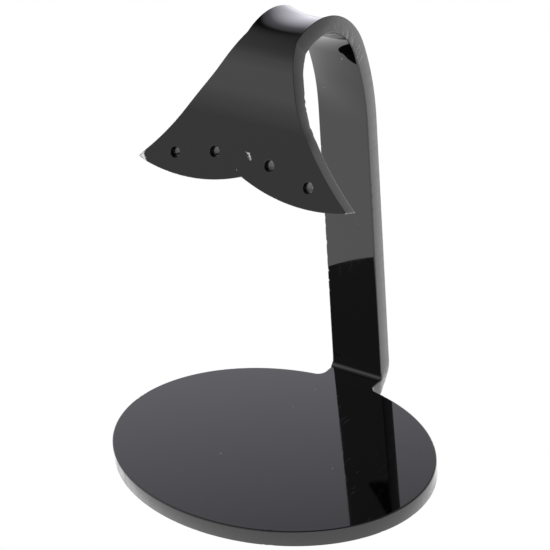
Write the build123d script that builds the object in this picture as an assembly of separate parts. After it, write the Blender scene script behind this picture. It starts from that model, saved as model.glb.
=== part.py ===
from build123d import *
import os
from math import asin, cos, degrees, radians, sin, tan

# Earring display stand: one sheet of black acrylic, cut to an outline, drilled and bent hot.
# Frame: millimetres, +Z up, the tail faces -Y, X runs across. The origin is the centre of the oval
# base, on its underside. The sheet is written as its formed zones, which meet face to face.
# Directions are degrees from straight up, growing as the sheet bends forwards over the top.

SHEET = 3.0

# Oval base and the tongue that leads from it to the upright
BASE_LENGTH = 63.0
BASE_DEPTH = 48.4
TONGUE_END_Y = 26.66
TONGUE_FILLET = 1.6

# Upright
FOOT_INNER_RADIUS = 0.9
POST_LEAN = 1.5
POST_LENGTH = 51.1
FOOT_WIDTH = 11.0
CROWN_WIDTH = 10.2

# Bends at the top, radii at the outer face
SWEEP_RADIUS = 44.2
SWEEP_END = 18.7
CROWN_RADIUS = 13.4
CROWN_END = 142.5

# Saddle of the crown: a hot strip's edges lift away from the inside of its bend
SADDLE_DEPTH = 0.65         # how far the middle lies below the edges
SADDLE_RISE = 9.0           # length along the sheet over which it comes
SADDLE_FADE = 9.0           # and over which it goes again before the tail
LEFT_LIFT = 0.22            # how much higher the left edge is than the right one

# Tail: where the strip starts to widen, the shallow set in it, and its flat end
FLUKE_START = 117.0
FLAT_BEFORE_SET = 4.2
SET_RADIUS = 18.0
BLADE_DIRECTION = 158.5

# Outline of the tail on the flat sheet, distances down it from where the widening starts
FLANK_ANGLE = 15.8
FLANK_RADIUS = 51.2
TIP_DISTANCE = 25.5
NOTCH_DISTANCE = 24.25
LOBE_RADIUS = 34.0
END_SKEW = 1.0              # the end is cut and drilled this many degrees out of square
END_SHIFT = 0.55            # and this far to one side
NOTCH_SHIFT = 0.4           # the notch lies this much further to that side

# Holes for earring hooks
HOLE_DIAMETER = 2.0
INNER_HOLES = (5.68, 21.25)  # half spacing, distance down the tail
OUTER_HOLES = (13.8, 23.1)

SECTION_STEP = 5.0          # degrees of bend between the cross sections of a bent zone


def outward(direction):
    """Unit vector out of the sheet's outer face."""
    return Vector(0, cos(radians(direction)), sin(radians(direction)))


def along(direction):
    """Unit vector along the sheet."""
    return Vector(0, -sin(radians(direction)), cos(radians(direction)))


class Stretch:
    """A straight stretch or a round bend of the sheet's outer face, seen from the side."""

    def __init__(self, start, direction, length=None, radius=None, end_direction=None):
        self.start = start
        self.direction = direction
        self.radius = radius
        self.length = length if radius is None else radius * radians(end_direction - direction)

    def direction_at(self, distance):
        if self.radius is None:
            return self.direction
        return self.direction + degrees(distance / self.radius)

    def point_at(self, distance):
        if self.radius is None:
            return self.start + along(self.direction) * distance
        centre = self.start - outward(self.direction) * self.radius
        return centre + outward(self.direction_at(distance)) * self.radius

    def end(self):
        return self.point_at(self.length)


def flank(distance):
    """Half width of the tail on the flat sheet: a circular arc that starts at FLANK_ANGLE."""
    start = radians(FLANK_ANGLE)
    here = asin(sin(start) + distance / FLANK_RADIUS)
    return CROWN_WIDTH / 2 + FLANK_RADIUS * (cos(start) - cos(here))


def ease(low, high, value):
    """0 below low, 1 above high, and the cubic 3t^2 - 2t^3 between."""
    t = min(max((value - low) / (high - low), 0), 1)
    return t * t * (3 - 2 * t)


def flat_sheet(distance):
    """The saddle's share where the sheet has none."""
    return 0


def section(stretch, distance, half_width, saddle):
    """The sheet's cross section at a distance along a stretch: a rectangle where the saddle's share
    is 0, and elsewhere leaning, with both faces hollowed to arcs."""
    outer = stretch.point_at(distance)
    out = outward(stretch.direction_at(distance))
    left = outer + Vector(-half_width, 0, 0) + out * LEFT_LIFT * saddle
    right = outer + Vector(half_width, 0, 0)
    through = out * SHEET
    if saddle == 0:
        return make_face(Polyline(left, right, right - through, left - through, close=True))
    middle = (left + right) / 2 - out * SADDLE_DEPTH * saddle
    return make_face(
        [
            ThreePointArc(left, middle, right),
            Line(right, right - through),
            ThreePointArc(right - through, middle - through, left - through),
            Line(left - through, left),
        ]
    )


def zone(stretches, half_width, saddle=flat_sheet):
    """A formed zone: each stretch lofted through evenly spaced cross sections, then joined.

    half_width and saddle take the distance from the zone's start.
    """
    lofts = []
    before = 0.0
    for stretch in stretches:
        turn = stretch.direction_at(stretch.length) - stretch.direction
        steps = max(1, round(turn / SECTION_STEP))
        distances = [stretch.length * i / steps for i in range(steps + 1)]
        faces = [
            section(stretch, here, half_width(before + here), saddle(before + here))
            for here in distances
        ]
        lofts.append(loft(faces, ruled=steps == 1))
        before += stretch.length
    return sum(lofts[1:], lofts[0])


foot = Stretch(
    Vector(0, TONGUE_END_Y, 0), -90, radius=SHEET + FOOT_INNER_RADIUS, end_direction=-POST_LEAN
)
upright = Stretch(foot.end(), -POST_LEAN, length=POST_LENGTH)
sweep = Stretch(upright.end(), -POST_LEAN, radius=SWEEP_RADIUS, end_direction=SWEEP_END)
over = Stretch(sweep.end(), SWEEP_END, radius=CROWN_RADIUS, end_direction=FLUKE_START)
down = Stretch(over.end(), FLUKE_START, radius=CROWN_RADIUS, end_direction=CROWN_END)
flat = Stretch(down.end(), CROWN_END, length=FLAT_BEFORE_SET)
crease = Stretch(flat.end(), CROWN_END, radius=SET_RADIUS, end_direction=BLADE_DIRECTION)
TAPER_LENGTH = upright.length + sweep.length + over.length


def strip_half_width(distance):
    """Half width of the strip, which tapers evenly from the foot bend to the start of the tail."""
    return (FOOT_WIDTH + (CROWN_WIDTH - FOOT_WIDTH) * distance / TAPER_LENGTH) / 2


def oval_base():
    outline = Ellipse(BASE_LENGTH / 2, BASE_DEPTH / 2)
    tongue = Rectangle(FOOT_WIDTH, TONGUE_END_Y, align=(Align.CENTER, Align.MIN))
    plate = extrude(outline + tongue, SHEET)
    corners = [
        edge
        for edge in plate.edges().filter_by(Axis.Z)
        if edge.center().Y < TONGUE_END_Y - TONGUE_FILLET
    ]
    return fillet(corners, TONGUE_FILLET)


def foot_bend():
    return zone([foot], lambda distance: FOOT_WIDTH / 2)


def post():
    return zone([upright], strip_half_width)


def crown_saddle(distance):
    """The saddle's share: it comes through the sweep and is gone where the tail starts."""
    end = sweep.length + over.length
    return ease(0, SADDLE_RISE, distance) * ease(0, SADDLE_FADE, end - distance)


def crown():
    return zone(
        [sweep, over],
        lambda distance: strip_half_width(upright.length + distance),
        crown_saddle,
    )


def fluke_shoulder():
    return zone([down, flat, crease], flank)


def skewed(x, distance):
    """A place on the tail's end, moved with the way that the end was cut."""
    return (x + END_SHIFT, distance + x * tan(radians(END_SKEW)))


def fluke_blade():
    """Outline in the blade's own plane, x across and y down the tail, on its outer face."""
    begin = down.length + flat.length + crease.length
    tips = {side: TIP_DISTANCE * (1 + side * tan(radians(END_SKEW))) for side in (-1, 1)}
    notch = skewed(NOTCH_SHIFT, NOTCH_DISTANCE - begin)
    edges = [Line((-flank(begin), 0), (flank(begin), 0))]
    for side in (-1, 1):
        start, tip = (side * flank(begin), 0), (side * flank(tips[side]), tips[side] - begin)
        middle = (begin + tips[side]) / 2
        edges.append(ThreePointArc(start, (side * flank(middle), middle - begin), tip))
        edges.append(RadiusArc(tip, notch, -side * LOBE_RADIUS))
    plane = Plane(crease.end(), x_dir=(1, 0, 0), z_dir=-outward(BLADE_DIRECTION))
    blade = extrude(plane * make_face(edges), SHEET)
    for half_spacing, distance in (INNER_HOLES, OUTER_HOLES):
        for side in (-1, 1):
            x, y = skewed(side * half_spacing, distance - begin)
            blade -= plane * Pos(x, y, SHEET / 2) * Cylinder(HOLE_DIAMETER / 2, 2 * SHEET)
    return blade


os.makedirs("parts", exist_ok=True)
for make in (oval_base, foot_bend, post, crown, fluke_shoulder, fluke_blade):
    export_step(make(), f"parts/{make.__name__}.step")
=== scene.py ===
import math

import bpy
import numpy as np
from mathutils import Matrix
from mathutils.geometry import delaunay_2d_cdt


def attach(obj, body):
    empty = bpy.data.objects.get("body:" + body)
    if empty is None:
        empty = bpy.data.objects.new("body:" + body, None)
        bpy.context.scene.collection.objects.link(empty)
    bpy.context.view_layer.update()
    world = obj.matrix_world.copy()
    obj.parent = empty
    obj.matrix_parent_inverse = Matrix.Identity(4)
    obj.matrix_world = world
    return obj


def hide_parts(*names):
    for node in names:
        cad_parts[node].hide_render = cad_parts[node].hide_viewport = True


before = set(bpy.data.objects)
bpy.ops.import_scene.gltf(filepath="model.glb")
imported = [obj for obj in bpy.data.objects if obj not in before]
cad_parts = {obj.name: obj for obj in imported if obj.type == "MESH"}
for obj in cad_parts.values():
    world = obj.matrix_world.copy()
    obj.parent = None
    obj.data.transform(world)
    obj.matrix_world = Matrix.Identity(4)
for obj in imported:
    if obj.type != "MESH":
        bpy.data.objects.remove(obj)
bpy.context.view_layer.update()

# Earring display stand: one sheet of gloss black acrylic, cut to an outline, drilled and bent hot.
#
# Every piece is worked out on the flat sheet and then formed. A place on the sheet is
#   x      across it, from its middle line
#   run    along it, from the end of the base's tongue: below 0 on the base, then up the upright,
#          over the crown and down the tail
#   depth  into it, from the face that becomes the outside of the bends
# in millimetres. A direction is the angle of the sheet's length from straight up, which grows as the
# sheet bends forwards.

MM = 0.001
SHEET = 3.0

# The base
BASE_LENGTH = 63.0
BASE_DEPTH = 48.4
TONGUE_END_Y = 26.66
TONGUE_FILLET = 1.6
NICK_PLACE = 129.0           # along the base's cut edge, from the tongue's right corner
NICK_DEPTH = 0.30
NICK_WIDTH = 0.28
FACE_RINGS = (0.2, 0.45, 0.7, 0.88)  # sizes of the outline's copies that fill each face

# The strip
FOOT_WIDTH = 11.0
CROWN_WIDTH = 10.2
TAPER_END = 95.70            # run at which the strip stops narrowing and the tail starts
FLANK_ANGLE = 15.8
FLANK_RADIUS = 51.2

# The tail's end; distances down the tail are from TAPER_END
TIP_DISTANCE = 25.5
NOTCH_DISTANCE = 24.25
NOTCH_SHIFT = 0.4
LOBE_RADIUS = 34.0
END_SKEW = 1.0               # degrees that the end was cut out of square
END_SHIFT = 0.55             # and how far to one side
HOLE_RADIUS = 1.0
HOLES = ((5.68, 21.25), (13.8, 23.1))  # half spacing and distance of each pair

# The sheet's bends, in order from the tongue: radius of a bend, its turn, or length of a straight
FOOT, UPRIGHT, SWEEP, OVER, DOWN, LEVEL, CREASE, BLADE = range(8)
RADII = np.array([3.9, 0.0, 44.2, 13.4, 13.4, 0.0, 18.0, 0.0])
TURNS = np.radians([88.5, 0.0, 20.2, 98.3, 25.5, 0.0, 16.0, 0.0])
STRAIGHTS = np.array([0.0, 51.1, 0.0, 0.0, 0.0, 4.2, 0.0, 14.0])
LENGTHS = STRAIGHTS + RADII * TURNS
STARTS = np.concatenate([[0.0], np.cumsum(LENGTHS)[:-1]])
BEND = TURNS / LENGTHS       # radians per millimetre
DIRECTIONS = np.radians(-90.0) + np.concatenate([[0.0], np.cumsum(TURNS)[:-1]])
BLADE_START = STARTS[BLADE]

# What the heat did to the bends
SADDLE_DEPTH = 0.65          # how far the crown's middle lies below its edges
SADDLE_RISE = 9.0            # length along the sheet over which the saddle comes
SADDLE_FADE = 9.0            # and over which it goes again before the tail
LEFT_LIFT = 0.16             # how much higher the crown's left edge is than its right one
FOOT_HOLLOW = 0.12           # how far the foot bend's middle lies below its edges
FOOT_FLARE = 0.20            # how far the foot's inner face stands out, and its outer one in
HEEL_THINNING = 0.60         # how far the outer face is drawn in at the heel
CROWN_FLARE = 0.68           # how far the crown's inner face stands out past its outer one
FLARE_LOSS = 0.42            # share of that which is gone just past the crown

# The cut edge
ARRIS = 0.08                 # rounding where the outer face meets a cut edge
INNER_ARRIS = 0.28           # and where the inner face does
HOLE_ARRIS = 0.07            # and round a hole, with how much it varies
HOLE_ARRIS_CHANGE = 0.03
WALL_TURN = math.radians(12)  # how far the cut edge curves towards the outer face
CUT_WAVE = 0.006             # how far the cut wanders in from its line
HOLE_WAVE = 0.004            # and how far a hole's wall does
STRIP_CHIP = 0.40            # extra rounding at the chips along the strip's edges
FINE_CHIP = 0.16             # and along those of the base and the tail's end

# Damage
PIT = (2.19, 20.73)          # where the drill slipped: across, and distance down the tail
PIT_RADIUS = 0.24
PIT_DEPTH = 0.3
CHIP_LENGTH = 1.75           # of the break off the left tip
CHIP_SLOPE = 0.16
CRUSH_RADIUS = 0.17          # of the crushed corner at the right tip

# How finely the surfaces are made
ROW_STEP = 0.25
FLAT_COLUMNS = 15
HOLE_COLUMNS = 64
SLOPE_STEP = 0.01            # the small step that slopes are measured over

# Seeds, one for each unevenness. Chips and waves also use the one or two numbers after theirs.
RIGHT_CHIPS, LEFT_CHIPS, RIGHT_WAVE, LEFT_WAVE = 11, 21, 31, 41
BASE_CHIPS, BASE_WAVE, END_CHIPS, END_WAVE = 51, 61, 71, 81
HOLE_RIMS, HOLE_WALLS = 91, 95
ROUGH_ONE, ROUGH_TWO, CHIP_EDGE, CHIP_FACE, CRUSHED = 101, 102, 103, 104, 105


# ---------------------------------------------------------------- the sheet and how it is bent


def ray(turn):
    """Unit vectors at an angle, (cosine, sine). At a direction, in the (y, z) plane, they point out of
    the sheet's outer face."""
    return np.stack([np.cos(turn), np.sin(turn)], -1)


def along(direction):
    """Unit vectors along the sheet: (minus sine, cosine) of the direction in the (y, z) plane."""
    return np.stack([-np.sin(direction), np.cos(direction)], -1)


def chord(length, turn, direction):
    """The straight step across an arc: its length times sinc of half its turn, in the direction
    halfway through it."""
    return (length * np.sinc(turn / 2 / np.pi))[..., None] * along(direction + turn / 2)


STEPS = chord(LENGTHS, TURNS, DIRECTIONS)
CORNERS = np.array([TONGUE_END_Y, 0.0]) + np.concatenate([[[0, 0]], np.cumsum(STEPS, axis=0)])


def side_profile(run):
    """Outer face (y, z) and direction at a run. On each stretch the place is its corner plus the
    chord of the turn so far. The base lies flat before the first bend."""
    stretch = np.clip(np.searchsorted(STARTS, run, side="right") - 1, 0, BLADE)
    local = run - STARTS[stretch]
    turn = BEND[stretch] * np.maximum(local, 0)
    return CORNERS[stretch] + chord(local, turn, DIRECTIONS[stretch]), DIRECTIONS[stretch] + turn


def ease(low, high, value):
    """0 below low, 1 above high, and the cubic 3t^2 - 2t^3 between."""
    t = np.clip((value - low) / (high - low), 0, 1)
    return t * t * (3 - 2 * t)


def wander(distance, spacing, seed):
    """Smooth random values from -1 to 1: seeded numbers at an even spacing, joined by cubic easing."""
    numbers = np.random.default_rng(seed).uniform(-1, 1, 1024)
    place = np.asarray(distance) / spacing
    low = np.floor(place).astype(int)
    share = ease(0, 1, place - low)
    return numbers[low % 1024] * (1 - share) + numbers[(low + 1) % 1024] * share


def slope_of(function, run):
    """A function's slope along the sheet, from its values a small step before and after."""
    return (function(run + SLOPE_STEP) - function(run - SLOPE_STEP)) / (2 * SLOPE_STEP)


def taper(run):
    """Share of the strip's narrowing that is done at a run: 0 to the end of the foot bend, 1 at the
    tail."""
    return np.clip((run - STARTS[UPRIGHT]) / (TAPER_END - STARTS[UPRIGHT]), 0, 1)


def half_width(run):
    """Half width of the strip. It narrows evenly up to the crown, and from there each flank of the
    tail is a circular arc: half the crown's width plus radius times (cos start - cos here), where
    sin here is sin start plus distance over radius."""
    narrowing = (FOOT_WIDTH + (CROWN_WIDTH - FOOT_WIDTH) * taper(run)) / 2
    start = math.radians(FLANK_ANGLE)
    sine = np.sin(start) + np.maximum(run - TAPER_END, 0) / FLANK_RADIUS
    here = np.arcsin(np.clip(sine, 0, 0.99))
    return narrowing + FLANK_RADIUS * (np.cos(start) - np.cos(here))


def saddle(run):
    """Share of the crown's saddle at a run: a hot strip's edges lift away from the inside of its
    bend. It rises through the sweep, holds over the crown and is gone where the tail widens."""
    rise = ease(STARTS[SWEEP], STARTS[SWEEP] + SADDLE_RISE, run)
    return rise * (1 - ease(TAPER_END - SADDLE_FADE, TAPER_END, run))


def sink(x, run):
    """How far the sheet lies below its plain bend: across the crown a parabola, deepest in the
    middle, and a lean that lifts the left edge; at the foot a slight hollow."""
    across = x / (CROWN_WIDTH / 2)
    crown = saddle(run) * (SADDLE_DEPTH * (1 - across * across) + LEFT_LIFT * (across - 1) / 2)
    hollow = FOOT_HOLLOW * ease(0, 2.5, run) * (1 - ease(3.5, 9.0, run))
    return crown + hollow * (1 - (2 * x / FOOT_WIDTH) ** 2)


def foot_flare(run):
    """Half of how much wider the foot bend is at its inner face than at its outer one, because the
    bend squeezes the inside and stretches the outside."""
    return FOOT_FLARE * ease(0, 2.2, run) * (1 - ease(4.0, 7.5, run))


def heel_thinning(run):
    """How much the outer face is drawn in at the heel, where the tight bend stretches it."""
    return HEEL_THINNING * ease(0.2, 2.8, run) * (1 - ease(3.6, 8.0, run))


def crown_flare(run):
    """How far the inner face stands out past the outer one over the crown: it grows to the end of the
    bend, and dies away down the tail."""
    grown = CROWN_FLARE * ease(STARTS[OVER], TAPER_END - 3, run)
    grown = grown * (1 - FLARE_LOSS * ease(TAPER_END + 1, TAPER_END + 6, run))
    return grown * (1 - ease(TAPER_END + 9, BLADE_START - 0.3, run))


def form(x, run, depth):
    """Places on the bent sheet, in the frame: the side profile's outer face, less depth and sink
    along the outward direction, with x kept."""
    place, direction = side_profile(run)
    place = place - (depth + sink(x, run))[..., None] * ray(direction)
    return np.concatenate([x[..., None], place], -1)


def form_normals(x, run, normal):
    """Turns normals given as (across, along, out) to the frame. The out part leans against the
    sheet's own slope: out minus the sink's slope across and along."""
    _, direction = side_profile(run)
    slope_x = -slope_of(lambda moved: sink(moved, run), x)
    slope_run = -slope_of(lambda moved: sink(x, moved), run)
    across = normal[..., 0] - normal[..., 2] * slope_x
    lengthways = normal[..., 1] - normal[..., 2] * slope_run
    turned = lengthways[..., None] * along(direction) + normal[..., 2:] * ray(direction)
    return unit(np.concatenate([across[..., None], turned], -1))


def unit(vectors):
    """Vectors divided by their lengths."""
    return vectors / np.linalg.norm(vectors, axis=-1, keepdims=True)


# ---------------------------------------------------------------- the cut edge's cross section


def edge_section():
    """The cut edge from the outer face to the inner one, as four columns: shift, in arris radii, from
    the cut's line; depth in arris radii; depth in sheet thicknesses; and the normal's angle from
    straight out. Both arrises are quarter rounds, and the wall between them shades as if it curved a
    little towards the outer face."""
    turn = np.radians(np.linspace(0, 90, 6))
    outer_angle = turn * (1 - WALL_TURN * 2 / np.pi)
    outer = np.stack([1 - np.sin(turn), 1 - np.cos(turn), 0 * turn, outer_angle], -1)
    share = np.linspace(0, 1, 9)[1:-1]
    wall = np.stack([0 * share, 1 - 2 * share, share, np.pi / 2 - WALL_TURN * (1 - share)], -1)
    inner = np.stack([1 - np.cos(turn), np.sin(turn) - 1, 0 * turn + 1, turn + np.pi / 2], -1)
    return np.concatenate([outer, wall, inner])


EDGE = edge_section()
EDGE_SHIFT, EDGE_DEPTH, EDGE_THROUGH, EDGE_ANGLE = (EDGE[:, k : k + 1] for k in range(4))
CUT_SHARE = np.sin(EDGE_ANGLE) ** 3      # 1 on the wall and 0 on the faces
INNER_SIDE = EDGE_THROUGH > 0.5
RADIUS = np.where(INNER_SIDE, INNER_ARRIS, ARRIS)


def set_out(radius):
    """The section's shift from the cut's line, and its depth, where the arrises have these radii."""
    return EDGE_SHIFT * radius, EDGE_DEPTH * radius + SHEET * EDGE_THROUGH


def section_normals(way_out, angle=EDGE_ANGLE):
    """The section's normals (across, along, out), sine of the angle along each way out of the cut and
    cosine of it out of the face."""
    sine = np.sin(angle)
    upright = np.cos(angle) + 0 * way_out[:, 0]
    return np.stack([sine * way_out[:, 0], sine * way_out[:, 1], upright], -1)


def with_seam(rim, depth, normal, seam_run):
    """A rim's section, closed by the places of the straight hidden seam where its two ends meet."""
    x = np.linspace(-1, 1, FLAT_COLUMNS)[1:-1] * rim[:, :1, 0]
    seam = np.stack([x, 0 * x + seam_run], -1)
    straight = np.stack([0 * x, 0 * x, np.cos(EDGE_ANGLE) + 0 * x], -1)
    return (
        np.concatenate([rim, seam], 1),
        np.concatenate([depth, depth[:, :1] + 0 * x], 1),
        np.concatenate([normal, straight], 1),
    )


def nibbles(distance, seed, share):
    """Extra arris radius where the saw picked out small chips: what stands above a threshold in one
    quick and one slow wander, so that chips come in groups."""
    quick = wander(distance, 0.42, seed)
    slow = wander(distance, 5.0, seed + 1)
    return share * np.clip(quick + 0.6 * slow - 0.65, 0, 0.8)


def wall_wave(distance, seed):
    """How far the cut stands in from its line: three wanders, one of the hand and two of the blade."""
    hand = 0.5 * wander(distance, 7.0, seed)
    saw = 0.3 * wander(distance, 1.6, seed + 1)
    return CUT_WAVE * (1 + (hand + saw + 0.2 * wander(distance, 0.5, seed + 2)))


def strip_chips(signed_run):
    """Chips along the strip's edges at a run, which is negative on the left edge."""
    right = nibbles(signed_run, RIGHT_CHIPS, STRIP_CHIP)
    return np.where(signed_run > 0, right, nibbles(-signed_run, LEFT_CHIPS, STRIP_CHIP))


def strip_wave(signed_run):
    """How far in the strip's edges stand at a run, which is negative on the left edge."""
    right = wall_wave(signed_run, RIGHT_WAVE)
    return np.where(signed_run > 0, right, wall_wave(-signed_run, LEFT_WAVE))


def path_length(path):
    """Distance along a path at each of its places."""
    return np.concatenate([[0], np.cumsum(np.linalg.norm(np.diff(path, axis=0), axis=1))])


# ---------------------------------------------------------------- meshes


def quads(rows, columns):
    """Faces of a closed grid of rows by columns, numbered along the rows: its last column joins its
    first."""
    row = np.arange(rows - 1)[:, None] * columns
    column = np.arange(columns)[None]
    after = (column + 1) % columns
    corners = [row + column, row + columns + column, row + columns + after, row + after]
    return np.stack(corners, -1)


def make_piece(name, node, places, normals, faces, plain_faces, attributes):
    """Puts numpy surfaces into a mesh. faces shade with the given normals; plain_faces, such as the
    hidden seams between zones, shade flat, and so does any face that touches broken acrylic."""
    mesh = bpy.data.meshes.new(name)
    faces = [list(map(int, f)) for f in faces]
    plain = [list(map(int, f)) for f in plain_faces]
    mesh.from_pydata((places * MM).tolist(), [], faces + plain)
    mesh.update()
    mesh.polygons.foreach_set("use_smooth", np.ones(len(mesh.polygons), bool))
    corner = np.zeros(len(mesh.loops), np.int32)
    mesh.loops.foreach_get("vertex_index", corner)
    sizes = np.zeros(len(mesh.polygons), np.int32)
    mesh.polygons.foreach_get("loop_total", sizes)
    facing = np.zeros(len(mesh.polygons) * 3, np.float32)
    mesh.polygons.foreach_get("normal", facing)
    owner = np.repeat(np.arange(len(sizes)), sizes)
    flat = np.arange(len(sizes)) >= len(faces)
    np.logical_or.at(flat, owner, attributes["broken"][corner] > 0.5)
    shading = np.where(flat[owner][:, None], facing.reshape(-1, 3)[owner], normals[corner])
    mesh.normals_split_custom_set(shading.tolist())
    for label, values in attributes.items():
        kind, slot = ("FLOAT_VECTOR", "vector") if values.ndim == 2 else ("FLOAT", "value")
        attribute = mesh.attributes.new(label, kind, "POINT")
        attribute.data.foreach_set(slot, values.astype(np.float32).ravel())
    piece = bpy.data.objects.new(name, mesh)
    bpy.context.scene.collection.objects.link(piece)
    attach(piece, "root")
    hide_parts(node)
    return piece


# ---------------------------------------------------------------- the strip


def strip_section():
    """The strip's cross section, a rectangle with rounded arrises, in ring order: right edge, inner
    face, left edge, outer face. Its columns are x in half widths, x in arris radii, and the edge's
    depths and angle. Also which side each place is on: 1 right, -1 left, 0 on a face."""
    right = np.column_stack([np.ones(len(EDGE)), 1 - EDGE[:, 0], EDGE[:, 1:]])
    left = right[::-1] * np.array([-1, -1, 1, 1, 1])
    across = np.linspace(1, -1, FLAT_COLUMNS)[1:-1]
    none = 0 * across
    inner = np.column_stack([across, none, none, none + 1, none + np.pi])
    outer = np.column_stack([-across, none, none, none, none])
    counts = [len(right), len(inner), len(left), len(outer)]
    return np.concatenate([right, inner, left, outer]), np.repeat([1.0, 0.0, -1.0, 0.0], counts)


def strip_zone(name, node, first, last):
    """A zone of the strip: its cross section carried along the side profile from one run to another.
    x is the section's share of the half width plus its share of the arris radius, spread by the
    flares and drawn in by the cut's waves. The heel's thinning lowers the outer face."""
    ring, side = strip_section()
    x_widths, x_radii, depth_radii, through, angle = ring.T
    count = len(ring)
    rows = max(2, int(round((last - first) / ROW_STEP)) + 1)
    run = np.linspace(first, last, rows)[:, None]
    run_grid = run + 0 * side
    cut = np.where(side == 0, 0.0, np.sin(angle) ** 3)
    cut_run = run_grid * np.where(side == 0, 1, side)
    fade = ease(0, 1.5, run) * (side != 0)

    inside = through > 0.5
    radius = np.where(inside, INNER_ARRIS, ARRIS) + fade * strip_chips(cut_run) * inside
    spread = foot_flare(run) * (2 * through - 1) + crown_flare(run) * through
    spread = spread - fade * strip_wave(cut_run) * cut
    x = x_widths * (half_width(run) - radius) + x_radii * radius + side * spread
    depth = depth_radii * radius + SHEET * through + heel_thinning(run) * (1 - through)

    slope = np.arctan(slope_of(half_width, run))
    sideways = side * np.sin(angle)
    lengthways = -np.abs(sideways) * np.sin(slope)
    lengthways = lengthways + slope_of(heel_thinning, run) * (1 - through) * np.cos(angle)
    lean = (2 * foot_flare(run) + crown_flare(run)) / SHEET * np.abs(sideways)
    normal = np.stack([sideways * np.cos(slope), lengthways, np.cos(angle) + lean], -1)

    sawn = ease(STARTS[OVER] - 4, STARTS[OVER], run)
    sawn = sawn * (1 - ease(STARTS[OVER] + 10, STARTS[OVER] + 13, run))
    attributes = {
        "sawn": (cut * sawn * ease(0.25, 0.7, through)).ravel(),
        "cut": (cut + 0 * run).ravel(),
        "cut_run": cut_run.ravel(),
        "on_sheet": np.stack([x, run_grid, depth], -1).reshape(-1, 3),
        "broken": np.zeros(x.size),
    }
    places = form(x, run_grid, depth).reshape(-1, 3)
    normals = form_normals(x, run_grid, normal).reshape(-1, 3)
    ends = [np.arange(count), np.arange(count)[::-1] + (rows - 1) * count]
    faces = quads(rows, count).reshape(-1, 4)
    return make_piece(name, node, places, normals, faces, ends, attributes)


# ---------------------------------------------------------------- the base


def oval_path():
    """The base's outline, from the tongue's right corner round the front to its left corner: the
    tongue's side, a fillet whose centre is where the oval's offset crosses the tongue's, and the oval,
    x = a cos t, y = b sin t. Returns places (x, y) and outward normals."""
    size = np.array([BASE_LENGTH / 2, BASE_DEPTH / 2])
    t = np.linspace(0, np.pi / 2, 4001)
    normal = unit(ray(t) / size)
    offset = size * ray(t) + TONGUE_FILLET * normal
    touch = np.interp(-(FOOT_WIDTH / 2 + TONGUE_FILLET), -offset[:, 0], t)
    centre = np.array([FOOT_WIDTH / 2 + TONGUE_FILLET, np.interp(touch, t, offset[:, 1])])
    inward_y, inward_x = (np.interp(touch, t, -normal[:, k]) for k in (1, 0))
    end_turn = np.arctan2(inward_y, inward_x) % (2 * np.pi)

    side_y = np.linspace(TONGUE_END_Y, centre[1], 6)[:-1]
    side = np.stack([0 * side_y + FOOT_WIDTH / 2, side_y], -1)
    fillet_ray = ray(np.linspace(np.pi, end_turn, 13)[:-1])
    fillet = centre + TONGUE_FILLET * fillet_ray
    oval_t = np.linspace(touch, -np.pi / 2, 380)
    half = np.concatenate([side, fillet, size * ray(oval_t)])
    side_normal = np.tile([1.0, 0.0], (len(side), 1))
    normals = np.concatenate([side_normal, -fillet_ray, unit(ray(oval_t) / size)])
    mirror = np.array([-1, 1])
    return (
        np.concatenate([half, (half * mirror)[-2::-1]]),
        np.concatenate([normals, (normals * mirror)[-2::-1]]),
    )


def oval_base(name, node):
    """The base: its outline, with the cut edge's section set out along each normal, closed at the
    tongue's end by a flat seam, and both faces filled with smaller and smaller copies of the
    outline, down to a pole at the centre."""
    path, normal = oval_path()
    count = len(path)
    length = path_length(path)
    fade = ease(0.5, 2.5, np.minimum(length, length[-1] - length))
    radius = RADIUS + fade * nibbles(length, BASE_CHIPS, FINE_CHIP)
    nick = NICK_DEPTH * np.exp(-(((length - NICK_PLACE) / NICK_WIDTH) ** 2))
    shift, depth = set_out(radius)
    shift = shift + CUT_SHARE * (fade * wall_wave(length, BASE_WAVE) + nick)
    rim = path - shift[..., None] * normal
    loop, loop_depth, loop_normal = with_seam(rim, depth, section_normals(normal), TONGUE_END_Y)
    columns = loop.shape[1]

    rings = len(FACE_RINGS)
    scale = np.array(FACE_RINGS)[:, None, None]
    zero = np.zeros((rings, columns))
    out = np.stack([zero, zero, zero + 1], -1)
    flat = np.concatenate([scale * loop[:1], loop, scale[::-1] * loop[-1:]])
    depths = np.concatenate([zero, loop_depth, zero + SHEET])
    normal_rows = np.concatenate([out, loop_normal, -out])
    rows = len(flat)

    x = np.concatenate([flat[..., 0].ravel(), [0, 0]])
    run = np.concatenate([flat[..., 1].ravel(), [0, 0]]) - TONGUE_END_Y
    depth = np.concatenate([depths.ravel(), [0, SHEET]])
    normals = np.concatenate([normal_rows.reshape(-1, 3), [[0, 0, 1], [0, 0, -1]]])
    grid = quads(rows, columns)
    row = np.arange(rows - 1)[:, None]
    on_edge = (row >= rings) & (row < rows - 1 - rings)
    in_seam = on_edge & (np.arange(columns) >= count - 1)
    around = np.arange(columns)
    after = (around + 1) % columns
    last = (rows - 1) * columns
    under_pole, top_pole = rows * columns, rows * columns + 1
    faces = list(grid[~in_seam])
    faces += list(np.stack([0 * around + under_pole, around, after], -1))
    faces += list(np.stack([0 * around + top_pole, last + after, last + around], -1))
    cut = np.zeros((rows, columns))
    cut[rings:-rings, :count] = CUT_SHARE
    cut_run = np.tile(np.concatenate([length, np.zeros(columns - count)]), rows)
    attributes = {
        "cut": np.concatenate([cut.ravel(), [0, 0]]),
        "cut_run": np.concatenate([cut_run, [0, 0]]),
        "on_sheet": np.stack([x, run, depth], -1),
        "broken": np.zeros(len(x)),
    }
    places = form(x, run, depth)
    normals = form_normals(x, run, normals)
    return make_piece(name, node, places, normals, faces, grid[in_seam], attributes)


# ---------------------------------------------------------------- the tail's blade


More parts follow.
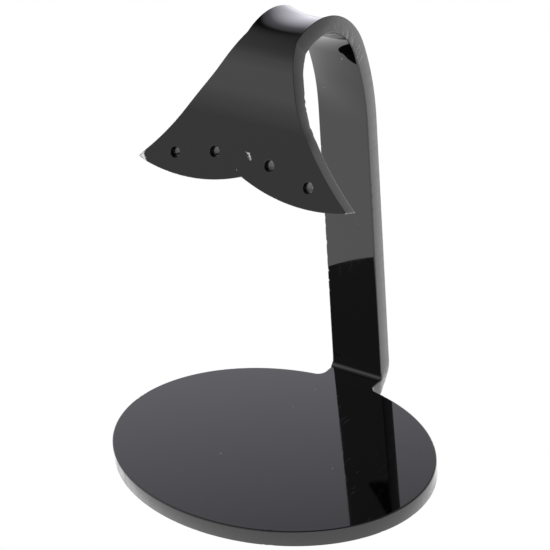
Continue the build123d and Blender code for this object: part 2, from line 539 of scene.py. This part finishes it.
def skewed(x, distance):
    """A place on the tail's end, moved with the way that the end was cut."""
    return x + END_SHIFT, distance + x * math.tan(math.radians(END_SKEW))


def closer_at_start(count):
    """Shares from 0 to 1 that bunch up at 0, where the tip is: t times (0.15 + 0.85 t)."""
    t = np.linspace(0, 1, count)
    return t * (0.15 + 0.85 * t)


def lobe(tip, notch, count):
    """A circular arc from a tip to the notch that bulges down the sheet: its centre lies above the
    chord's middle by the root of radius squared less half the chord squared. Returns places and
    outward normals."""
    tip, notch = np.array(tip), np.array(notch)
    straight = notch - tip
    half = np.linalg.norm(straight) / 2
    down = np.array([straight[1], -straight[0]]) / (2 * half)
    down = down * np.sign(down[1])
    centre = (tip + notch) / 2 - down * math.sqrt(LOBE_RADIUS**2 - half**2)
    first, last = (np.arctan2(*(place - centre)[::-1]) for place in (tip, notch))
    normal = ray(first + (last - first) * closer_at_start(count))
    return centre + LOBE_RADIUS * normal, normal


def flank(side):
    """One flank of the blade, from the seam to its tip: places and outward normals."""
    skew = math.tan(math.radians(END_SKEW))
    tip_run = TAPER_END + TIP_DISTANCE * (1 + side * skew)
    run = (tip_run + (BLADE_START - tip_run) * closer_at_start(90))[::-1]
    slope = np.arctan(slope_of(half_width, run))
    places = np.stack([side * half_width(run), run], -1)
    return places, np.stack([side * np.cos(slope), -np.sin(slope)], -1)


def blade_path():
    """The blade's outline (x, run) from the seam's right corner down the right flank, along both
    lobes and up the left flank, with the way in from the cut at each point. The way in is the inward
    normal plus a share along the cut that is the mitre's at a corner, straight across at the seam,
    and fades with distance, so that the lines set in from the cut never cross."""
    x, distance = skewed(NOTCH_SHIFT, NOTCH_DISTANCE)
    notch = (x, TAPER_END + distance)
    right_flank, left_flank = flank(1), flank(-1)
    right_lobe, left_lobe = (lobe(places[-1], notch, 110) for places, _ in (right_flank, left_flank))
    pieces = [right_flank, right_lobe]
    pieces += [(places[::-1], normal[::-1]) for places, normal in (left_lobe, left_flank)]

    corners = [np.array([-1.0, 0.0])]
    for (_, before), (_, following) in zip(pieces, pieces[1:]):
        first, second = -before[-1], -following[0]
        corners.append((first + second) / (1 + first @ second))
    corners.append(np.array([1.0, 0.0]))

    path, normals, ways = [], [], []
    for number, (places, normal) in enumerate(pieces):
        length = path_length(places)
        near_first = 1 - ease(0, 6.0, length)[:, None]
        near_last = 1 - ease(0, 6.0, length[-1] - length)[:, None]
        way = -normal + near_first * (corners[number] + normal[0])
        way = way + near_last * (corners[number + 1] + normal[-1])
        keep = slice(None) if number == 3 else slice(None, -1)
        path.append(places[keep])
        normals.append(normal[keep].copy())
        ways.append(way[keep])
    for number in (1, 2, 3):                 # a corner's own normal is the middle of its two sides'
        normals[number][0] = unit(normals[number][0] + pieces[number - 1][1][-1])
    return np.concatenate(path), np.concatenate(normals), np.concatenate(ways)


class Patches:
    """The blade's surfaces while they are put together: grids of places on the flat sheet, with
    their depths, normals, shares of cut edge and places along the cut."""

    def __init__(self):
        self.columns = {"flat": [], "depth": [], "normal": [], "cut": [], "cut_run": []}
        self.total = 0

    def add(self, flat, **others):
        """Adds a grid and returns the numbers of its places."""
        shape = flat.shape[:-1]
        sizes = {"normal": (3,)}
        self.columns["flat"].append(flat.reshape(-1, 2))
        for label, values in others.items():
            size = sizes.get(label, ())
            self.columns[label].append(np.broadcast_to(values, shape + size).reshape(-1, *size))
        numbers = np.arange(math.prod(shape)).reshape(shape) + self.total
        self.total += numbers.size
        return numbers

    def all(self, label):
        return np.concatenate(self.columns[label])


def drilled_hole(patches, number, side):
    """One drilled hole: the cut edge's section set out round a circle, with a small uneven arris at
    both faces. Returns its centre, the numbers of its places and its faces."""
    x, distance = skewed(side * HOLES[number][0], HOLES[number][1])
    centre = np.array([x, TAPER_END + distance])
    turn = np.linspace(0, 2 * np.pi, HOLE_COLUMNS + 1)[:-1]
    arris = HOLE_ARRIS + HOLE_ARRIS_CHANGE * wander(turn * 3, 1.0, HOLE_RIMS + number)
    shift, depth = set_out(arris)
    wave = HOLE_WAVE * (1 + wander(turn * 2 + side, 1.0, HOLE_WALLS)) * CUT_SHARE
    numbers = patches.add(
        centre + (HOLE_RADIUS - wave + shift)[..., None] * ray(turn),
        depth=depth,
        normal=section_normals(-ray(turn)),
        cut=CUT_SHARE * 0.6,
        cut_run=turn,
    )
    return centre, numbers, list((quads(*numbers.shape) + numbers[0, 0]).reshape(-1, 4))


def staggered(across, down, step):
    """An even grid of places, with every second row moved half a step."""
    x, run = np.meshgrid(np.arange(*across, step), np.arange(*down, step))
    x = x + step / 2 * (np.arange(len(x)) % 2)[:, None]
    return np.stack([x.ravel(), run.ravel()], -1)


def inside_outline(places, outline):
    """Which places lie inside a closed outline: those from which a line to the right crosses it an
    odd number of times."""
    x, run = places[:, :1], places[:, 1:]
    ax, ar = outline.T
    bx, br = np.roll(outline, -1, axis=0).T
    with np.errstate(divide="ignore", invalid="ignore"):
        crossing = ax + (run - ar) * (bx - ax) / (br - ar)
    return (((ar > run) != (br > run)) & (crossing > x)).sum(1) % 2 == 1


def fill_points(outline, hole_centres):
    """Places inside the blade's faces for the triangles: rows a millimetre apart over the whole
    blade, and closer ones round the slipped drill's mark and at both tips, kept off every rim."""
    pit = np.array([PIT[0], TAPER_END + PIT[1]])
    coarse = staggered((-22, 23), (BLADE_START + 0.7, BLADE_START + 12), 1.0)
    rings = np.linspace(0.06, 0.6, 9)[:, None, None] * ray(np.linspace(0, 2 * np.pi, 21)[:-1])
    fine = [pit + rings.reshape(-1, 2)]
    for side in (1, -1):
        tip = outline[np.argmax(side * outline[:, 0])]
        fine.append(tip + np.array([-side, 1]) * staggered((0.1, 3.6), (-2.0, 2.0), 0.13))
    coarse = coarse[np.linalg.norm(coarse - pit, axis=1) >= 0.8]
    places = np.concatenate([coarse, *fine])
    off_rim = np.linalg.norm(places[:, None] - outline, axis=-1).min(1) > 0.06
    from_holes = np.linalg.norm(places[:, None] - np.array(hole_centres), axis=-1).min(1)
    return places[inside_outline(places, outline) & off_rim & (from_holes > HOLE_RADIUS + 0.2)]


def face_triangles(flat, rims, fill, sign):
    """Triangles over one face of the blade, between the outline's rim, the holes' rims and the fill
    places, all given by number. Sign is 1 on the outer face and -1 on the inner one."""
    number = np.concatenate([*rims, fill])
    starts = np.cumsum([0] + [len(rim) for rim in rims])
    sides = [
        (int(start + i), int(start + (i + 1) % len(rim)))
        for start, rim in zip(starts, rims)
        for i in range(len(rim))
    ]
    outline = [list(range(len(rims[0])))]
    _, _, made, origin, _, _ = delaunay_2d_cdt(flat[number].tolist(), sides, outline, 1, 1e-7)
    source = np.array([o[0] if o else 0 for o in origin])
    triangles = source[np.array([t for t in made if len(t) == 3])]
    rim_of = np.repeat(np.arange(len(rims) + 1), [len(rim) for rim in rims] + [len(fill)])
    a, b, c = rim_of[triangles].T
    in_hole = (a == b) & (b == c) & (a > 0) & (a < len(rims))
    triangles = number[triangles[~in_hole]]
    a, b, c = (flat[triangles[:, k]] for k in range(3))
    spin = (b[:, 0] - a[:, 0]) * (c[:, 1] - a[:, 1]) - (b[:, 1] - a[:, 1]) * (c[:, 0] - a[:, 0])
    return list(np.where((spin * sign > 0)[:, None], triangles[:, ::-1], triangles))


def fluke_blade(name, node):
    """The blade: the cut edge's section set out round its outline, four drilled holes whose walls
    are circles carried through the sheet, and both faces filled between their rims with triangles,
    small where the tips are chipped and where the drill slipped. Its edge takes over the strip's
    chips and waves at the seam, and its wall turns straight away from there."""
    path, normal, way = blade_path()
    count = len(path)
    length = path_length(path)
    ends = np.minimum(length, length[-1] - length)
    on_right = np.arange(count) < count / 2
    cut_run = np.where(on_right, BLADE_START + length, -(BLADE_START + length[-1] - length))
    fade = ease(0.0, 1.5, ends)
    chips = (1 - fade) * strip_chips(cut_run) + fade * nibbles(length, END_CHIPS, FINE_CHIP)
    wave = (1 - fade) * strip_wave(cut_run) + fade * wall_wave(length, END_WAVE)
    shift, depth = set_out(RADIUS + chips * np.where(INNER_SIDE, 1, fade))
    rim = path + (shift + CUT_SHARE * wave)[..., None] * way
    on_wall = (EDGE_THROUGH > 0) & (EDGE_THROUGH < 1)
    straighter = 0.75 * ease(0, 4.0, ends) * on_wall * (np.pi / 2 - EDGE_ANGLE)
    rim_normal = section_normals(normal, EDGE_ANGLE + straighter)
    loop, loop_depth, loop_normal = with_seam(rim, depth, rim_normal, BLADE_START)
    beyond = np.zeros(loop.shape[1] - count)
    in_seam = np.arange(loop.shape[1]) >= count - 1

    patches = Patches()
    edge_cut = np.concatenate([CUT_SHARE + 0 * shift, CUT_SHARE * 0 + beyond], 1)
    edge_run = np.concatenate([cut_run, beyond])
    edge = patches.add(loop, depth=loop_depth, normal=loop_normal, cut=edge_cut, cut_run=edge_run)
    grid = quads(*edge.shape)[..., ::-1]
    faces = list(grid[:, ~in_seam].reshape(-1, 4))
    grids, centres = [edge], []
    for number in range(len(HOLES)):
        for side in (1, -1):
            centre, numbers, walls = drilled_hole(patches, number, side)
            centres.append(centre)
            grids.append(numbers)
            faces += walls

    fill = fill_points(loop[0], centres)
    for row, face_depth, sign in ((0, 0.0, 1), (-1, SHEET, -1)):
        fill_numbers = patches.add(fill, depth=face_depth, normal=(0, 0, sign), cut=0, cut_run=0)
        rims = [numbers[row] for numbers in grids]
        faces += face_triangles(patches.all("flat"), rims, fill_numbers, sign)

    x, run = patches.all("flat").T
    left_tip, right_tip = path[np.argmin(path[:, 0])], path[np.argmax(path[:, 0])]
    depth, broken = spoil(x, run, patches.all("depth"), left_tip, right_tip)
    attributes = {
        "cut": patches.all("cut"),
        "cut_run": patches.all("cut_run"),
        "on_sheet": np.stack([x, run, depth], -1),
        "broken": broken,
    }
    places = form(x, run, depth)
    normals = form_normals(x, run, patches.all("normal"))
    seam = grid[:, in_seam].reshape(-1, 4)
    return make_piece(name, node, places, normals, faces, seam, attributes)


def spoil(x, run, depth, left_tip, right_tip):
    """Damage to the blade, as depth and a mark that is 1 on broken acrylic: a shallow cone where the
    drill slipped, a slanted break off the left tip, rough by two wanders, that lowers the sheet to a
    plane, and crushed spots down the right tip's corner."""
    rough = wander(x * 7 + run * 3, 1.0, ROUGH_ONE) * wander(run * 8 - x * 2, 1.0, ROUGH_TWO)
    across, down = x - PIT[0], run - TAPER_END - PIT[1]
    away = np.hypot(across * 0.9 - down * 0.5, down * 0.55) * (1 + 0.5 * rough)
    on_face = depth < 0.01
    broken = on_face & (away < PIT_RADIUS)
    depth = depth + np.where(on_face, np.clip(1 - away / PIT_RADIUS, 0, 1) * PIT_DEPTH, 0)

    inward = (x - left_tip[0]) - 0.25 * (run - left_tip[1])
    edge = CHIP_LENGTH + 0.22 * wander(run * 5, 1.0, CHIP_EDGE) + 0.05 * rough
    plane = np.clip(edge - inward, 0, 2) * CHIP_SLOPE
    grain = 0.06 * (1 + wander(x * 6 + run * 4, 1.0, CHIP_FACE)) + 0.04 * rough
    plane = plane + np.where(plane > 0, grain, 0)
    chipped = (plane > depth) & (depth < 2.4)
    depth = np.where(chipped, plane, depth)

    near_tip = np.hypot(x - right_tip[0], run - right_tip[1]) < CRUSH_RADIUS
    crushed = near_tip & (wander(depth * 2.2, 1.0, CRUSHED) > -0.45)
    return depth, (broken | chipped | crushed).astype(float)


# ---------------------------------------------------------------- the acrylic's finish


class Amount:
    """A number that varies over a surface: a node's socket that can be added, subtracted and
    multiplied, each of which adds a Math node."""

    def __init__(self, finish, socket):
        self.finish = finish
        self.socket = socket

    def _maths(self, operation, *values):
        return self.finish.node("ShaderNodeMath", {"operation": operation}, dict(enumerate(values)))

    def __add__(self, other):
        return self._maths("ADD", self, other)

    def __radd__(self, other):
        return self._maths("ADD", other, self)

    def __rsub__(self, other):
        return self._maths("SUBTRACT", other, self)

    def __mul__(self, other):
        return self._maths("MULTIPLY", self, other)

    def __rmul__(self, other):
        return self._maths("MULTIPLY", other, self)

    def above(self, low, high):
        """0 below low and 1 above high, eased between."""
        return self.finish.node(
            "ShaderNodeMapRange",
            {"interpolation_type": "SMOOTHSTEP", "clamp": True},
            {"Value": self, "From Min": low, "From Max": high, "To Min": 0.0, "To Max": 1.0},
        )

    def at_least(self, other):
        return self._maths("MAXIMUM", self, other)


class Finish:
    """A material or a sky while its nodes are put together."""

    def __init__(self, holder):
        holder.use_nodes = True
        self.tree = holder.node_tree
        self.tree.nodes.clear()

    def node(self, kind, settings=None, sockets=None, output=0):
        """Adds a node of that kind: its settings first, then the values or links of its sockets."""
        made = self.tree.nodes.new(kind)
        for key, value in (settings or {}).items():
            if key == "stops":
                self._set_stops(made.color_ramp, value)
            else:
                setattr(made, key, value)
        for key, value in (sockets or {}).items():
            if isinstance(value, Amount):
                self.tree.links.new(value.socket, made.inputs[key])
            else:
                made.inputs[key].default_value = value
        return Amount(self, made.outputs[output]) if made.outputs else made

    @staticmethod
    def _set_stops(ramp, stops):
        """Stops are (place, grey level)."""
        while len(ramp.elements) < len(stops):
            ramp.elements.new(0.5)
        for element, (place, level) in zip(ramp.elements, stops):
            element.position = place
            element.color = (level, level, level, 1)

    def attribute(self, name, output=2):
        """A value kept on the mesh: output 2 is a number and 1 a vector."""
        return self.node("ShaderNodeAttribute", {"attribute_name": name}, {}, output)

    def part(self, vector, output):
        """A vector's x, y or z, as output 0, 1 or 2."""
        return self.node("ShaderNodeSeparateXYZ", {}, {"Vector": vector}, output)

    def joined(self, x, y, z=0.0):
        """A vector from its parts."""
        return self.node("ShaderNodeCombineXYZ", {}, {0: x, 1: y, 2: z})

    def placed(self, vector, scale=(1, 1, 1), turn=0.0):
        """A pattern's coordinates, scaled, and turned about the way out of the sheet."""
        sockets = {"Vector": vector, "Scale": scale, "Rotation": (0, 0, turn)}
        return self.node("ShaderNodeMapping", {}, sockets)

    def noise(self, vector, detail=2.0):
        sockets = {"Vector": vector, "Scale": 1.0, "Detail": detail}
        return self.node("ShaderNodeTexNoise", {}, sockets)

    def cells(self, vector, scale, output):
        """Cells round scattered points: output 0 is the distance from a cell's point, 1 its colour."""
        sockets = {"Vector": vector, "Scale": scale, "Randomness": 1.0}
        return self.node("ShaderNodeTexVoronoi", {"feature": "F1"}, sockets, output)

    def colour(self, share, first, second, blend="MIX"):
        """first where share is 0 and second where it is 1."""
        settings = {"data_type": "RGBA", "blend_type": blend}
        return self.node("ShaderNodeMix", settings, {0: share, 6: first, 7: second}, 2)

    def bump(self, height, distance, below=None, strength=1.0):
        sockets = {"Height": height, "Distance": distance, "Strength": strength}
        if below is not None:
            sockets["Normal"] = below
        return self.node("ShaderNodeBump", {}, sockets)


POLISHED_BLACK = (0.0005, 0.0005, 0.0006, 1)
SATIN_BLACK = (0.0060, 0.0060, 0.0062, 1)
SAW_GREY = (0.11, 0.11, 0.11, 1)
DUST = (0.34, 0.34, 0.33, 1)
# Painted glint: broken black acrylic is given these two greys for the light that its rough facets
# catch
BROKEN_GLINT_DIM = (0.16, 0.16, 0.155, 1)
BROKEN_GLINT_BRIGHT = (0.62, 0.61, 0.58, 1)
DUST_CELLS = 0.34            # to the millimetre; about one in three holds a speck


def black_acrylic():
    """Polished black acrylic. Its faces are nearly a mirror, with faint smears, a few hairlines and
    dust; its cut edges are satin, ribbed across the thickness by the blade, with pale saw marks on
    the crown; and where it is broken it is rough, and coloured dim to pale grey as a painted glint
    of the light that its rough facets catch. Patterns are in sheet millimetres."""
    material = bpy.data.materials.new("gloss_black_acrylic")
    f = Finish(material)
    sheet = f.attribute("on_sheet", 1)
    cut = f.attribute("cut")
    cut_run = f.attribute("cut_run")
    broken = f.attribute("broken")
    sawn = f.attribute("sawn")
    depth = f.part(sheet, 2)

    smear = f.noise(f.placed(sheet, (0.11, 0.05, 0.1), 0.4), 4.0).above(0.42, 0.75)
    lengthways = f.noise(f.placed(sheet, (9.0, 0.13, 1.0), 0.05), 1.0).above(0.735, 0.78)
    crossways = f.noise(f.placed(sheet, (11.0, 0.16, 1.0), 1.25), 1.0).above(0.745, 0.785)
    hairs = lengthways.at_least(crossways)

    cell_number = f.node("ShaderNodeSeparateColor", {}, {0: f.cells(sheet, DUST_CELLS, 1)}, 0)
    from_point = f.cells(sheet, DUST_CELLS, 0)
    specks = cell_number.above(0.70, 0.72) * (1 - from_point.above(0.024, 0.044)) * (1 - cut)

    ribs = f.noise(f.joined(cut_run * 6.0, depth * 0.22), 3.0)
    bands = f.noise(f.joined(cut_run * 0.8, depth * 0.15, 3.0))
    slanted = f.joined(cut_run * 2.6 + depth * 1.4, depth * 0.25, 7.0)
    saw_marks = f.noise(slanted).above(0.56, 0.66) * sawn

    face_rough = 0.018 + 0.035 * smear + 0.05 * hairs
    edge_rough = 0.13 + 0.12 * bands.above(0.35, 0.7) + 0.06 * ribs
    roughness = face_rough * (1 - cut) + edge_rough * cut
    roughness = roughness * (1 - specks) + 0.7 * specks
    roughness = roughness * (1 - broken) + 0.6 * broken

    base = f.colour(cut, POLISHED_BLACK, SATIN_BLACK)
    base = f.colour(saw_marks, base, SAW_GREY)
    base = f.colour(specks, base, DUST)
    # Painted glint: a noise spreads broken acrylic between dim and pale grey, standing in for the
    # light its rough facets catch
    glint_spread = f.noise(f.placed(sheet, (3.0, 3.0, 3.0)), 4.0).above(0.3, 0.7)
    base = f.colour(broken, base, f.colour(glint_spread, BROKEN_GLINT_DIM, BROKEN_GLINT_BRIGHT))

    peel = f.noise(f.placed(sheet, (0.16, 0.12, 0.1)), 1.0)
    surface = f.bump(peel, 0.0000018)
    surface = f.bump(hairs * (1 - cut), 0.000003, surface, 0.5)
    surface = f.bump(ribs * cut, 0.00003, surface, 0.6)
    surface = f.bump(saw_marks, 0.00004, surface, 0.8)
    surface = f.bump(specks, 0.00006, surface, 0.8)
    sockets = {"Base Color": base, "Roughness": roughness, "IOR": 1.49, "Normal": surface}
    shader = f.node("ShaderNodeBsdfPrincipled", {}, sockets)
    f.node("ShaderNodeOutputMaterial", {}, {"Surface": shader})
    return material


# ---------------------------------------------------------------- the studio

WHITE = (1, 1, 1, 1)
SKY_STRENGTH = 4.0
PAPER_GLOW = 1.22
PAPER_TINT = (1.0, 0.985, 1.085, 1)
TO_THE_LEFT = (-0.80, -0.60, 0.0)
TO_THE_RIGHT = (0.80, 0.60, 0.0)

# Grey levels from the horizon up, as (sine of the height, level)
BEHIND = [
    (0.0, 0.62), (0.34, 0.58), (0.45, 0.49), (0.53, 0.36), (0.60, 0.20),
    (0.685, 0.13), (0.735, 0.012), (0.83, 0.016), (1.0, 0.10),
]
BEFORE = [
    (0.0, 0.20), (0.17, 0.22), (0.45, 0.32), (0.59, 0.39),
    (0.73, 0.30), (0.80, 0.18), (0.84, 0.12), (1.0, 0.10),
]
BESIDE = [(0.0, 0.34), (0.2, 0.28), (0.5, 0.14), (1.0, 0.10)]


def studio_sky():
    """A plain soft studio: bright paper behind the stand up to a dark gap, a soft wall on the left in
    front, a darker one on the right, and a dim ceiling. Seen straight on it is plain pale paper."""
    world = bpy.data.worlds.new("studio")
    bpy.context.scene.world = world
    f = Finish(world)
    way = f.node("ShaderNodeTexCoord", {}, {}, 0)
    height = f.part(way, 2)
    product = {"operation": "DOT_PRODUCT"}
    left, right = (
        f.node("ShaderNodeVectorMath", product, {0: way, 1: side}, 1)
        for side in (TO_THE_LEFT, TO_THE_RIGHT)
    )
    behind, before, beside = (
        f.node("ShaderNodeValToRGB", {"stops": stops}, {"Fac": height})
        for stops in (BEHIND, BEFORE, BESIDE)
    )
    behind = f.colour(1.0, behind, PAPER_TINT, "MULTIPLY")
    sky = f.colour(left.above(0.19, 0.51), behind, before)
    sky = f.colour(right.above(0.0, 0.6), sky, beside)
    seen = f.node("ShaderNodeLightPath", {}, {}, 0)
    plain = f.node("ShaderNodeBackground", {}, {"Color": WHITE, "Strength": 1.0})
    lit = f.node("ShaderNodeBackground", {}, {"Color": sky, "Strength": SKY_STRENGTH})
    mixed = f.node("ShaderNodeMixShader", {}, {0: seen, 1: lit, 2: plain})
    f.node("ShaderNodeOutputWorld", {}, {"Surface": mixed})


def studio_floor():
    """A pale lit table: a square of paper that also glows a little, as a light table does."""
    size = 1.5
    low = -0.0001
    corners = [(-size, -size, low), (size, -size, low), (size, size, low), (-size, size, low)]
    mesh = bpy.data.meshes.new("studio_floor")
    mesh.from_pydata(corners, [], [(0, 1, 2, 3)])
    floor = bpy.data.objects.new("studio_floor", mesh)
    bpy.context.scene.collection.objects.link(floor)
    material = bpy.data.materials.new("pale_paper")
    f = Finish(material)
    sockets = {
        "Base Color": (0.8, 0.8, 0.8, 1),
        "Roughness": 0.9,
        "Emission Color": WHITE,
        "Emission Strength": PAPER_GLOW,
    }
    lit = f.node("ShaderNodeBsdfPrincipled", {}, sockets)
    plain = f.node("ShaderNodeEmission", {}, {"Color": WHITE, "Strength": 1.0})
    seen = f.node("ShaderNodeLightPath", {}, {}, 0)
    shader = f.node("ShaderNodeMixShader", {}, {0: seen, 1: lit, 2: plain})
    f.node("ShaderNodeOutputMaterial", {}, {"Surface": shader})
    mesh.materials.append(material)


def camera():
    """The camera stands in front, to the right and above, and leans a few degrees to one side."""
    data = bpy.data.cameras.new("camera")
    eye = bpy.data.objects.new("camera", data)
    bpy.context.scene.collection.objects.link(eye)
    data.sensor_width = 36.0
    data.lens = 131.81
    data.clip_start, data.clip_end = 0.01, 20.0
    right = (0.806923, 0.584870, -0.082481)
    up = (-0.228122, 0.437400, 0.869851)
    back = (0.544827, -0.683087, 0.486370)
    turn = Matrix((right, up, back)).transposed().to_4x4()
    eye.matrix_world = Matrix.Translation((0.1907248, -0.2334806, 0.2054045)) @ turn
    bpy.context.scene.camera = eye


bpy.context.scene.view_settings.view_transform = "Standard"
camera()
studio_sky()
studio_floor()
acrylic = black_acrylic()
pieces = [
    oval_base("oval_base_sheet", "oval_base"),
    strip_zone("foot_bend_sheet", "foot_bend", 0.0, STARTS[UPRIGHT]),
    strip_zone("post_sheet", "post", STARTS[UPRIGHT], STARTS[SWEEP]),
    strip_zone("crown_sheet", "crown", STARTS[SWEEP], STARTS[DOWN]),
    strip_zone("fluke_shoulder_sheet", "fluke_shoulder", STARTS[DOWN], BLADE_START),
    fluke_blade("fluke_blade_sheet", "fluke_blade"),
]
for piece in pieces:
    piece.data.materials.append(acrylic)
